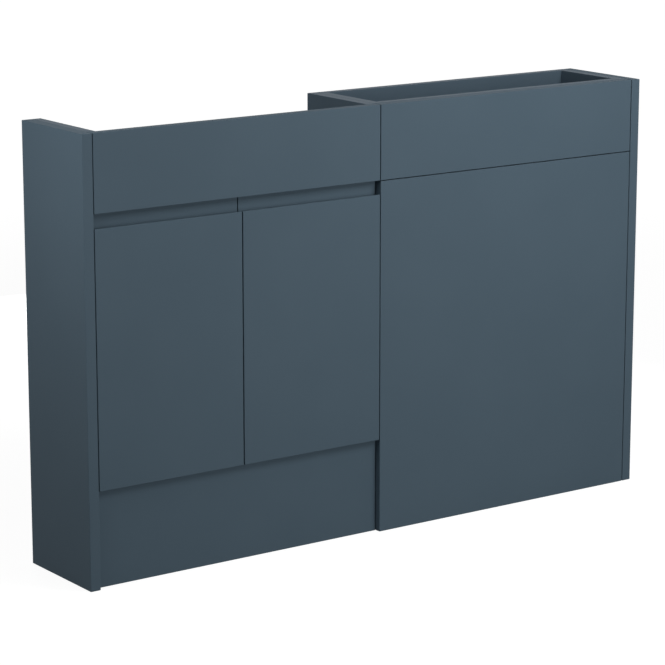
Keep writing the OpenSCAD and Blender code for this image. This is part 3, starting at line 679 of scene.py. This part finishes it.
# %% Drum
def drum_group():
    tree, size = new_tree("eased_drum", {"Radius": 3 * MM, "Height": 2 * MM, "Foot Share": 1.0,
                                         "Top Share": 0.7, "Sides": 28}, takes_points=False)
    drum = add(tree, "GeometryNodeMeshCylinder", {
        "Vertices": size["Sides"], "Side Segments": 6, "Radius": size["Radius"],
        "Depth": size["Height"]})
    at = add(tree, "ShaderNodeSeparateXYZ", {0: add(tree, "GeometryNodeInputPosition")})
    rise = add(tree, "ShaderNodeMath", {0: at.outputs["Z"], 1: size["Height"]},
               operation="DIVIDE")
    foot = add(tree, "ShaderNodeMapRange", {"Value": rise, "From Min": -0.5, "From Max": -0.1,
                                            "To Min": size["Foot Share"], "To Max": 1.0},
               interpolation_type="SMOOTHSTEP")
    top = add(tree, "ShaderNodeMapRange", {"Value": rise, "From Min": 0.5, "From Max": 0.0,
                                           "To Min": size["Top Share"], "To Max": 1.0},
              interpolation_type="SMOOTHSTEP")
    share = add(tree, "ShaderNodeMath", {0: foot, 1: top}, operation="MULTIPLY")
    stood = stand_up(tree, draw_in(tree, drum, share), size["Height"])
    add(tree, "NodeGroupOutput", {"Mesh": stood})
    return tree


drum = drum_group()
print("group:", drum.name, "with", len(drum.nodes), "nodes")

# %% [markdown]
# ## Threaded rod
# A thread is a ridge that climbs round a core. It could be a bump in the material, but close to, its
# outline would stay smooth. So a spiral carries a small square profile up a core, and both can be
# drawn in towards a point at the lower end.

# %% Threaded rod
def rod_group():
    tree, size = new_tree("threaded_rod", {
        "Core Radius": 1.4 * MM, "Ridge": 0.35 * MM, "Length": 12 * MM, "Pitch": 1.3 * MM,
        "Taper": 3 * MM, "Tip Share": 0.1}, takes_points=False)
    core = add(tree, "GeometryNodeMeshCylinder", {
        "Vertices": 14, "Side Segments": 10, "Radius": size["Core Radius"],
        "Depth": size["Length"]})
    core = stand_up(tree, core, size["Length"])
    threaded = add(tree, "ShaderNodeMath", {0: size["Length"], 1: 0.86}, operation="MULTIPLY")
    turns = add(tree, "ShaderNodeMath", {0: threaded, 1: size["Pitch"]}, operation="DIVIDE")
    spiral = add(tree, "GeometryNodeCurveSpiral", {
        "Resolution": 14, "Rotations": turns, "Start Radius": size["Core Radius"],
        "End Radius": size["Core Radius"], "Height": threaded})
    square = add(tree, "GeometryNodeCurvePrimitiveCircle", {"Resolution": 4,
                                                            "Radius": size["Ridge"]})
    thread = add(tree, "GeometryNodeCurveToMesh", {"Curve": spiral, "Profile Curve": square,
                                                   "Fill Caps": True})
    thread = lift(tree, thread, size["Ridge"])
    whole = add(tree, "GeometryNodeJoinGeometry", {"Geometry": [core, thread]})
    at = add(tree, "ShaderNodeSeparateXYZ", {0: add(tree, "GeometryNodeInputPosition")})
    share = add(tree, "ShaderNodeMapRange", {
        "Value": at.outputs["Z"], "From Max": size["Taper"], "To Min": size["Tip Share"]})
    add(tree, "NodeGroupOutput", {"Mesh": draw_in(tree, whole, share)})
    return tree


rod = rod_group()
print("group:", rod.name, "with", len(rod.nodes), "nodes")

# %% [markdown]
# ## A cross-headed screw
# Every board and fitting is held by cross-headed screws. One tree makes them all: a head from the
# drum with a cross cut out of it, and the threaded rod under it, set on each point of a small mesh
# and turned along the point's `way`. A screw could also be modelled once and copied, but the tree
# fits head and shank to each kind of screw.

# %% Screw tree
def screw_tree():
    tree, size = new_tree("cross_screws", {
        "Head Radius": 3.2 * MM, "Head Height": 2 * MM, "Foot Share": 1.0, "Top Share": 0.72,
        "Core Radius": 1.4 * MM, "Ridge": 0.35 * MM, "Length": 12 * MM, "Pitch": 1.3 * MM,
        "Taper": 3 * MM, "Tip Share": 0.1, "Finish": None})
    head = add(tree, "GeometryNodeGroup", {
        "Radius": size["Head Radius"], "Height": size["Head Height"],
        "Foot Share": size["Foot Share"], "Top Share": size["Top Share"], "Sides": 28},
        node_tree=drum)
    long_cut = add(tree, "ShaderNodeMath", {0: size["Head Radius"], 1: 1.15},
                   operation="MULTIPLY")
    thin_cut = add(tree, "ShaderNodeMath", {0: size["Head Radius"], 1: 0.2},
                   operation="MULTIPLY")
    deep_cut = add(tree, "ShaderNodeMath", {0: size["Head Height"], 1: 1.3},
                   operation="MULTIPLY")
    arms = []
    for across, along in ((long_cut, thin_cut), (thin_cut, long_cut)):
        box = add(tree, "ShaderNodeCombineXYZ", {"X": across, "Y": along, "Z": deep_cut})
        arm = add(tree, "GeometryNodeMeshCube", {"Size": box})
        arms.append(lift(tree, arm, size["Head Height"]))
    cut = add(tree, "GeometryNodeMeshBoolean", {"Mesh 1": head, "Mesh 2": arms},
              operation="DIFFERENCE", solver="EXACT")
    shank = add(tree, "GeometryNodeGroup", {
        name: size[name] for name in ("Core Radius", "Ridge", "Length", "Pitch", "Taper",
                                      "Tip Share")}, node_tree=rod)
    down = add(tree, "ShaderNodeMath", {0: size["Length"], 1: -0.98}, operation="MULTIPLY")
    shank = lift(tree, shank, down)
    screw = add(tree, "GeometryNodeJoinGeometry", {"Geometry": [cut, shank]})
    way = add(tree, "GeometryNodeInputNamedAttribute", {"Name": "way"},
              data_type="FLOAT_VECTOR")
    turned = add(tree, "FunctionNodeAlignRotationToVector", {"Vector": way}, axis="Z")
    return set_on_points(tree, size, screw, Rotation=turned)


screws = screw_tree()
print("tree:", screws.name, "with", len(screws.nodes), "nodes")

# %% [markdown]
# ## Growing a tree on points
# A tree needs something to grow on: a mesh of bare points, each where a head sits and looking the
# way its screw comes out. The tree runs on it as a modifier, and its result is kept as plain mesh.
# Empties with a copied screw on each would need an object for every screw.

# %% Points to grow on
def points_object(name, places, ways):
    """A mesh of bare points, each with the direction that it looks in."""
    mesh = bpy.data.meshes.new(name)
    mesh.from_pydata(places, [], [])
    way = mesh.attributes.new("way", "FLOAT_VECTOR", "POINT")
    for k, direction in enumerate(ways):
        way.data[k].vector = direction
    holder = bpy.data.objects.new(name, mesh)
    bpy.context.scene.collection.objects.link(holder)
    return holder


def grow(holder, tree, sizes, bm=None):
    """Runs a tree on a points object and adds its result to plain mesh data."""
    maker = holder.modifiers.new(tree.name, "NODES")
    maker.node_group = tree
    for socket in tree.interface.items_tree:
        if socket.in_out == "INPUT" and socket.name in sizes:
            maker[socket.identifier] = sizes[socket.name]
    return plain_mesh(holder, bm)


print("helpers:", points_object.__name__, grow.__name__)

# %% [markdown]
# ## Screws in their holes
# The CAD holds each screw as a plain pin with a head or two. Its points tell where the heads sit,
# which way they look, and how thick and long the shank is. Typing a table of places would be quick,
# but it would be wrong as soon as a board changed. Screws that lie flush have a head that narrows
# towards its foot, and connectors that join the two units have a head at both ends.

# %% Screws
def measure_screw(points):
    """Seat, way out, head and shank of each head on one screw solid, from its points."""
    low, high = limits(points)
    axis = max(range(3), key=lambda k: (high - low)[k])
    middle = (low + high) / 2
    reach = [(p[axis], math.hypot(*(p[k] - middle[k] for k in range(3) if k != axis)))
             for p in points]
    shank_r = min(radius for _, radius in reach)
    head_r = max(radius for _, radius in reach)
    heads = []
    for end, sign in ((high[axis], 1), (low[axis], -1)):
        rims = [sign * (end - at) for at, radius in reach if radius > 0.98 * head_r]
        near = [gap for gap in rims if gap < (high - low)[axis] / 2]
        if near and min(near) < 0.01 * MM:
            seat = middle.copy()
            seat[axis] = end - sign * max(near)
            way = Vector([sign if k == axis else 0 for k in range(3)])
            heads.append((seat, way, max(near)))
    length = ((high - low)[axis] - sum(head[2] for head in heads)) / len(heads)
    return heads, head_r, shank_r, length


flush_kinds = ("basin_carcass_screws", "wc_carcass_screws", "end_panel_screws")
flush_head = {"Foot Share": 0.62, "Top Share": 0.97}
pan_head = {"Foot Share": 1.0, "Top Share": 0.72}
pointed, blunt = 0.1, 1.0
for node in [node for node in frame["nodes"] if "screws" in node]:
    found = [measure_screw(points) for points in islands(node)]
    heads = [head for solid in found for head in solid[0]]
    _, head_r, shank_r, length = found[0]
    sizes = {"Head Radius": head_r, "Head Height": heads[0][2], "Core Radius": 0.8 * shank_r,
             "Ridge": 0.2 * shank_r, "Length": length, "Pitch": 0.75 * shank_r,
             "Taper": 2 * shank_r, "Finish": zinc,
             "Tip Share": blunt if node == "connector_screws" else pointed,
             **(flush_head if node in flush_kinds else pan_head)}
    holder = points_object("points_of_" + node, [h[0] for h in heads], [h[1] for h in heads])
    stand_for(make_object("cross_" + node, grow(holder, screws, sizes)), node)
    print(node, len(heads), "heads of", round(2 * head_r / MM, 1), "mm, length",
          round(length / MM, 1))

# %% [markdown]
# ## Outline of a hinge arm
# The arm of a concealed hinge is pressed from steel strip into a channel, open towards the gable. The
# CAD has it as a solid bar, but with a door open its thin walls show. It runs straight along the
# gable, steps outwards past the carcass edge and ends in a round nose inside the cup. Seen from
# above that is a list of points, measured from the ends of the CAD's bar. A curve with handles
# would be harder to keep inside the cup.

# %% Arm outline
arm_thick = 5 * MM
nose_r = 3 * MM
# Behind the nose's middle: where the crank ends and begins on the gable side and on the room side
crank_front = (8.5 * MM, 6.5 * MM)
crank_back = (18.5 * MM, 20.5 * MM)
nose_turns = 8


def arm_outline(seat, nose, tip_y, end_y):
    """Points of the arm seen from above: the open gable side, then round the nose and back."""
    nose_y = tip_y + nose_r
    gable_side = [(seat, end_y), (seat, nose_y + crank_back[0]),
                  (nose - nose_r, nose_y + crank_front[0])]
    tip = [(nose - nose_r * math.cos(a), nose_y - nose_r * math.sin(a))
           for a in (math.pi * k / nose_turns for k in range(nose_turns + 1))]
    room_side = [(nose + nose_r, nose_y + crank_front[1]),
                 (seat + arm_thick, nose_y + crank_back[1]), (seat + arm_thick, end_y)]
    return gable_side, tip + room_side


print("arm outline with", nose_turns + 1, "points round its nose")

# %% [markdown]
# ## Pressed hinge arms
# The outline is raised to the arm's width, left open on the gable side, and Solidify gives it the
# thickness of the strip. Cutting a hollow into the bar would need a second outline for the inside.
# A pin crosses the nose. Two cross-headed screws in the back, which adjust the door and clamp the
# arm to its plate, come from the screws' tree. Both arms of a door are one piece.

# %% Pressed arms
strip_t = 1.2 * MM
arm_half = 5.5 * MM
arm_bend_r = 1.1 * MM
pin_r = 1.4 * MM
pin_out = 1.2 * MM
pin_round = 0.4 * MM
# Where the adjusting screw and the clamping screw stand, in front of the arm's back end
screw_places = (33 * MM, 10 * MM)
adjusting_screw = {"Head Radius": 3.2 * MM, "Head Height": 1.1 * MM, "Top Share": 0.86,
                   "Core Radius": 1.7 * MM, "Length": arm_thick, "Pitch": 0.9 * MM,
                   "Taper": 0.1 * MM, "Tip Share": blunt, "Finish": nickel}


def pressed_arms(node, side):
    """`side` is 1 where the arms stand on a gable that faces +X."""
    low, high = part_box(node)
    seat = low.x if side > 0 else -high.x
    nose = (high.x if side > 0 else -low.x) - nose_r
    gable_side, room_side = arm_outline(seat, nose, low.y, high.y)
    bm = bmesh.new()
    middles = (low.z + arm_half + pin_out, high.z - arm_half - pin_out)
    for middle in middles:
        plates = [[bm.verts.new((side * x, y, middle + up * arm_half))
                   for x, y in gable_side + room_side] for up in (-1, 1)]
        for plate in plates:
            bm.faces.new(plate)
        lower, upper = plates
        for k in range(len(gable_side), len(lower) - 1):
            bm.faces.new((lower[k], lower[k + 1], upper[k + 1], upper[k]))
    bmesh.ops.recalc_face_normals(bm, faces=bm.faces)
    round_edges(bm, [edge for edge in bm.edges if edge.calc_face_angle(0) > CREASE],
                arm_bend_r, steps=3)
    shell = make_object("arm_shell", bm)
    wall = shell.modifiers.new("strip", "SOLIDIFY")
    wall.thickness = strip_t
    wall.offset = -1
    wall.use_even_offset = True
    arms = plain_mesh(shell)
    pin_half = arm_half + pin_out
    pin = soften([(0, -pin_half), (pin_r, -pin_half), (pin_r, pin_half), (0, pin_half)], pin_round)
    for middle in middles:
        turn(arms, pin, (side * nose, low.y + nose_r, middle), steps=20)
    heads = [(side * (seat + arm_thick), high.y - back, middle)
             for middle in middles for back in screw_places]
    holder = points_object("points_of_" + node, heads, [(side, 0, 0)] * len(heads))
    grow(holder, screws, adjusting_screw, arms)
    stand_for(make_object("pressed_" + node, arms), node)
    print(node, "nose", round((nose - seat) / MM, 1), "mm out from the arm's seat")


pressed_arms("hinge_arms_left", 1)
pressed_arms("hinge_arms_right", -1)

# %% [markdown]
# ## Ribs and webs of a leg
# Ribs stiffen the tube of a leg and webs stiffen its flange. Both stand in a ring around it. An
# Array modifier would need a turned helper object for each ring, so a tree sets a rib and a web
# around the points of two circles.

# %% Ribs and webs
rib_r = 0.85 * MM
rib_count = 16
web_count = 8


def wheel_tree():
    """Sets a rod-shaped rib or a wedge-shaped web around the vertical line through each point."""
    tree, size = new_tree("ribs_and_webs", {
        "Ribs": rib_count, "Rib Circle": 14 * MM, "Rib Radius": rib_r, "Rib Height": 130 * MM,
        "Webs": web_count, "Web Circle": 13 * MM, "Web Reach": 13 * MM, "Web Height": 22 * MM,
        "Web Thickness": 1.6 * MM, "Web Top": 140 * MM, "Finish": None})
    rib = add(tree, "GeometryNodeMeshCylinder", {"Vertices": 10, "Radius": size["Rib Radius"],
                                                 "Depth": size["Rib Height"]})
    rib = stand_up(tree, rib, size["Rib Height"])
    rib_ring = add(tree, "GeometryNodeMeshCircle", {"Vertices": size["Ribs"],
                                                    "Radius": size["Rib Circle"]})
    ribs = add(tree, "GeometryNodeInstanceOnPoints", {"Points": rib_ring, "Instance": rib})
    block = add(tree, "ShaderNodeCombineXYZ", {"X": size["Web Reach"],
                                               "Y": size["Web Thickness"],
                                               "Z": size["Web Height"]})
    web = add(tree, "GeometryNodeMeshCube", {"Size": block})
    at = add(tree, "ShaderNodeSeparateXYZ", {0: add(tree, "GeometryNodeInputPosition")})
    rise = add(tree, "ShaderNodeMath", {0: at.outputs["Z"], 1: size["Web Height"]},
               operation="DIVIDE")
    share = add(tree, "ShaderNodeMapRange", {"Value": rise, "From Min": -0.5, "From Max": 0.5,
                                             "To Min": 0.08})
    inner = add(tree, "ShaderNodeMath", {0: size["Web Reach"], 1: 0.5}, operation="MULTIPLY")
    out = add(tree, "ShaderNodeMath", {0: at.outputs["X"], 1: inner}, operation="ADD")
    drawn_in = add(tree, "ShaderNodeMath", {0: out, 1: share}, operation="MULTIPLY")
    wedge = add(tree, "ShaderNodeCombineXYZ", {"X": drawn_in, "Y": at.outputs["Y"],
                                               "Z": at.outputs["Z"]})
    web = add(tree, "GeometryNodeSetPosition", {"Geometry": web.outputs["Mesh"],
                                                "Position": wedge})
    web_ring = add(tree, "GeometryNodeMeshCircle", {"Vertices": size["Webs"],
                                                    "Radius": size["Web Circle"]})
    outwards = add(tree, "FunctionNodeAlignRotationToVector", {
        "Vector": add(tree, "GeometryNodeInputPosition")}, axis="X")
    webs = add(tree, "GeometryNodeInstanceOnPoints", {
        "Points": web_ring, "Instance": web, "Rotation": outwards})
    # Half a step round, which is between the screws
    between_screws = add(tree, "ShaderNodeCombineXYZ", {"Z": math.pi / web_count})
    top = add(tree, "ShaderNodeCombineXYZ", {"Z": size["Web Top"]})
    webs = add(tree, "GeometryNodeTransform", {"Geometry": webs, "Translation": top,
                                               "Rotation": between_screws})
    both = add(tree, "GeometryNodeJoinGeometry", {"Geometry": [ribs, webs]})
    return set_on_points(tree, size, both)


wheel = wheel_tree()
print("tree:", wheel.name, "with", len(wheel.nodes), "nodes")

# %% [markdown]
# ## Legs
# A leg socket is one black moulding: a flange that is screwed under the base, and a tube for the
# foot's stem. It could be cut from cylinders, but a profile that is turned on a lathe can have every
# corner softened first, as in a mould. The tube is drawn in under the ribs, so the ribs reach the
# radius that the plinth's clips grip.

# %% Leg sockets
bore_r = 10.08 * MM
bore_top = 92 * MM
tube_r = 13.4 * MM
clip_grip_r = 15 * MM
flange_t = 4 * MM
flange_rim = 2 * MM
moulded_round = 0.8 * MM
rib_start = 3 * MM
web_h = 24 * MM
web_sunk = 0.4 * MM


def leg_sockets(node):
    solids = [limits(points) for points in islands(node)]
    places = [Vector(((low.x + high.x) / 2, (low.y + high.y) / 2, low.z)) for low, high in solids]
    low, high = solids[0]
    flange_r, tall = (high.x - low.x) / 2, high.z - low.z
    flange_at = tall - flange_t
    sizes = {"Rib Circle": clip_grip_r - rib_r, "Rib Height": flange_at - rib_start,
             "Web Reach": flange_r - tube_r - flange_rim, "Web Circle": tube_r - web_sunk,
             "Web Height": web_h, "Web Top": flange_at - web_h / 2 - rib_start,
             "Finish": black_plastic}
    lifted = [place + Vector((0, 0, rib_start)) for place in places]
    ways = [(0, 0, 1)] * len(places)
    bm = grow(points_object("points_of_" + node, lifted, ways), wheel, sizes)
    bore = bore_top - low.z
    profile = [(0, bore), (bore_r, bore), (bore_r, 0), (tube_r, 0), (tube_r, flange_at),
               (flange_r, flange_at), (flange_r, tall), (0, tall)]
    for place in places:
        turn(bm, soften(profile, moulded_round), place, steps=48)
    stand_for(make_object("moulded_" + node, bm), node)
    print(node, len(places), "legs with", rib_count, "ribs each")


leg_sockets("leg_sockets")

# %% [markdown]
# ## Feet
# A foot is a pad with a gripped collar, for turning it by hand, and a coarsely threaded stem that
# runs up into its leg. Each foot is its own body, because it screws in and out. The pad and the
# collar are the drum group, the stem is the rod group, and small grips stand around the collar, so
# the foot needs no shape that isn't there already.

# %% Feet
pad_h = 7 * MM
collar_r = 12.8 * MM


def foot_tree():
    tree, size = new_tree("levelling_foot", {
        "Pad Radius": 22 * MM, "Pad Height": pad_h, "Collar Radius": collar_r,
        "Collar Height": 5 * MM, "Grips": 14, "Grip Radius": 1.2 * MM, "Core Radius": 8.9 * MM,
        "Ridge": 1.1 * MM, "Stem Length": 55 * MM, "Pitch": 4 * MM, "Finish": None})
    pad = add(tree, "GeometryNodeGroup", {
        "Radius": size["Pad Radius"], "Height": size["Pad Height"], "Foot Share": 0.96,
        "Top Share": 0.82, "Sides": 56}, node_tree=drum)
    collar = add(tree, "GeometryNodeGroup", {
        "Radius": size["Collar Radius"], "Height": size["Collar Height"], "Foot Share": 1.0,
        "Top Share": 0.92, "Sides": 40}, node_tree=drum)
    grip = add(tree, "GeometryNodeGroup", {
        "Radius": size["Grip Radius"], "Height": size["Collar Height"], "Foot Share": 1.0,
        "Top Share": 0.7, "Sides": 10}, node_tree=drum)
    ring = add(tree, "GeometryNodeMeshCircle", {"Vertices": size["Grips"],
                                                "Radius": size["Collar Radius"]})
    grips = add(tree, "GeometryNodeInstanceOnPoints", {"Points": ring, "Instance": grip})
    stem = add(tree, "GeometryNodeGroup", {
        "Core Radius": size["Core Radius"], "Ridge": size["Ridge"],
        "Length": size["Stem Length"], "Pitch": size["Pitch"], "Taper": 0.1 * MM,
        "Tip Share": 1.0}, node_tree=rod)
    upper = add(tree, "GeometryNodeJoinGeometry", {"Geometry": [collar, grips, stem]})
    upper = lift(tree, upper, size["Pad Height"])
    foot = add(tree, "GeometryNodeJoinGeometry", {"Geometry": [pad, upper]})
    return set_on_points(tree, size, foot)


feet = foot_tree()
for node in [node for node in frame["nodes"] if node.startswith("foot_")]:
    low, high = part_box(node)
    place = Vector(((low.x + high.x) / 2, (low.y + high.y) / 2, low.z))
    sizes = {"Pad Radius": (high.x - low.x) / 2, "Stem Length": high.z - low.z - pad_h,
             "Finish": black_plastic}
    holder = points_object("point_of_" + node, [place], [(0, 0, 1)])
    stand_for(make_object("threaded_" + node, grow(holder, feet, sizes)), node)
    print(node, "stands at", [round(c / MM, 1) for c in place])

# %% [markdown]
# ## Size of the finished run
# Finishing must not change the size of the run. So the box around all the finished pieces is
# measured last and printed. Reading it from the meshes is surer than writing down a size by hand.

# %% Measure the finished size
low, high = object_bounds()
print("visual size in mm:", [round(x / MM, 2) for x in high - low])
